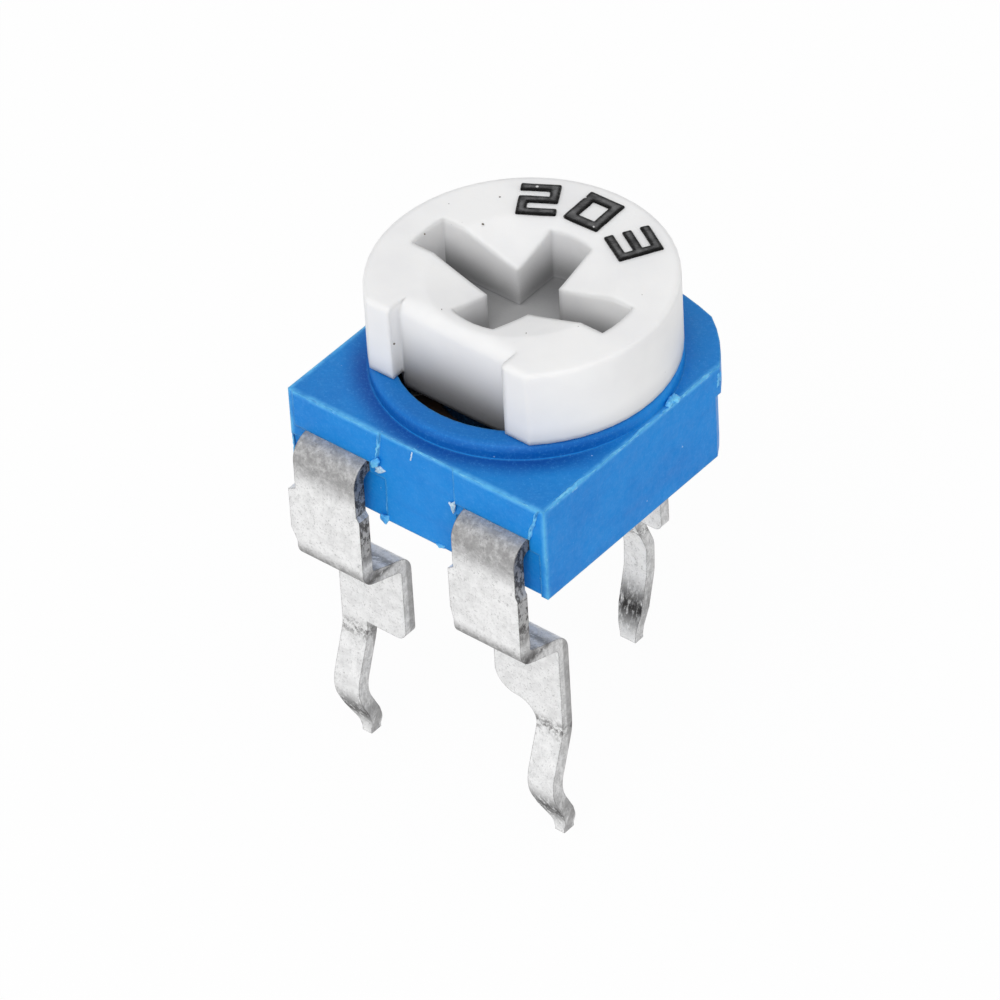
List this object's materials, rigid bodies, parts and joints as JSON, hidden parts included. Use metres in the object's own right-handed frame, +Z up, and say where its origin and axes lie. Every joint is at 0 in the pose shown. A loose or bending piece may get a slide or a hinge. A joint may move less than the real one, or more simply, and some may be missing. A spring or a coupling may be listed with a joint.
{
  "type": "trimmer potentiometer",
  "caption": "Square single-turn trimmer with a white knob rotor that has a cross slot, a flat and a finger recess, on three bent sheet-metal board pins.",
  "frame": {"origin": "on the rotor's axis, at the height where the tabs of the terminals meet the board's top", "axes": "+Z up along the rotor's axis, +X to the right along the front face, +Y from the two end terminals to the wiper terminal"},
  "size_m": [0.0066, 0.0075, 0.0115],
  "materials": {
    "housing": "satin",
    "rotor": "satin",
    "card": "matte",
    "track": "matte",
    "electrode": "matte",
    "spring": "satin",
    "terminal": "satin"
  },
  "bodies": {
    "base": {"housing": "housing", "element_card": "card", "carbon_track": "track", "left_electrode": "electrode", "right_electrode": "electrode", "left_terminal": "terminal", "right_terminal": "terminal", "wiper_terminal": "terminal"},
    "turning": {"rotor": "rotor", "wiper_spring": "spring"}
  },
  "joints": [
    {"name": "rotor_turn", "type": "hinge", "parent": "base", "child": "turning", "pos_m": [0, 0, 0.006], "axis": [0, 0, 1], "range_deg": [-117, 117]}
  ]
}
